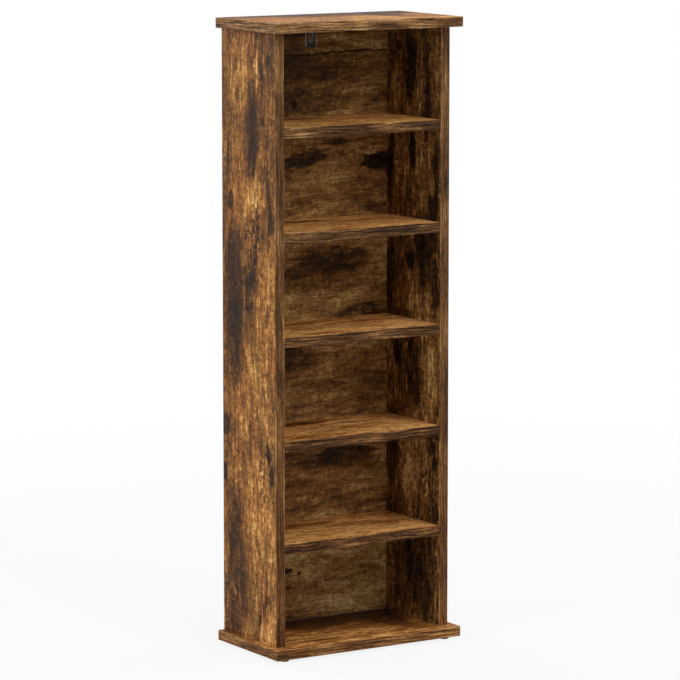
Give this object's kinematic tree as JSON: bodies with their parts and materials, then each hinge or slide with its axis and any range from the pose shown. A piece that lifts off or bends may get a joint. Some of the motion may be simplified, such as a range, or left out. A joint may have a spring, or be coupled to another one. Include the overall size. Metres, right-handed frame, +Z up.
{
  "type": "cd cabinet",
  "caption": "Tall narrow open rack for disc cases: overhanging top and bottom boards, side panels, fixed shelves, a thin back, a wall bracket and small feet.",
  "frame": {"origin": "on the floor, under the middle of the top and bottom boards", "axes": "+X to the right seen from the front, +Y from the open front to the back, +Z up"},
  "size_m": [0.32, 0.17, 0.93],
  "materials": {
    "end_board_decor": "smoked oak decor foil on particle board, grain along the board, satin",
    "side_decor": "smoked oak decor foil on particle board, upright grain, satin",
    "shelf_decor": "smoked oak decor foil on particle board, grain along the shelf, satin",
    "back_decor": "smoked oak decor on the front of hardboard, plain brown at the back",
    "edge_band": "reddish brown grained edge band, satin",
    "zinc_steel": "zinc plated",
    "cast_zinc": "die cast, dull",
    "bracket_steel": "zinc plated, dull",
    "beech": "raw turned beech",
    "cap_plastic": "brown, fine texture",
    "foot_plastic": "dark moulded plastic"
  },
  "bodies": {
    "root": {"top_panel": "end_board_decor", "bottom_panel": "end_board_decor", "left_side_panel": "side_decor", "right_side_panel": "side_decor", "shelf_1": "shelf_decor", "shelf_2": "shelf_decor", "shelf_3": "shelf_decor", "shelf_4": "shelf_decor", "shelf_5": "shelf_decor", "back_panel": "back_decor", "top_front_band": "edge_band", "top_left_band": "edge_band", "top_right_band": "edge_band", "bottom_front_band": "edge_band", "bottom_left_band": "edge_band", "bottom_right_band": "edge_band", "left_side_band": "edge_band", "right_side_band": "edge_band", "shelf_1_band": "edge_band", "shelf_2_band": "edge_band", "shelf_3_band": "edge_band", "shelf_4_band": "edge_band", "shelf_5_band": "edge_band", "top_cam_bolts": "zinc_steel", "top_cam_locks": "cast_zinc", "top_cam_caps": "cap_plastic", "top_dowels": "beech", "bottom_cam_bolts": "zinc_steel", "bottom_cam_locks": "cast_zinc", "bottom_cam_caps": "cap_plastic", "bottom_dowels": "beech", "shelf_cam_bolts": "zinc_steel", "shelf_cam_locks": "cast_zinc", "shelf_cam_caps": "cap_plastic", "shelf_dowels": "beech", "back_edge_nails": "zinc_steel", "back_shelf_nails": "zinc_steel", "foot_nails": "zinc_steel", "bracket_screws": "zinc_steel", "wall_bracket": "bracket_steel", "front_left_foot": "foot_plastic", "front_right_foot": "foot_plastic", "back_left_foot": "foot_plastic", "back_right_foot": "foot_plastic"}
  },
  "joints": []
}
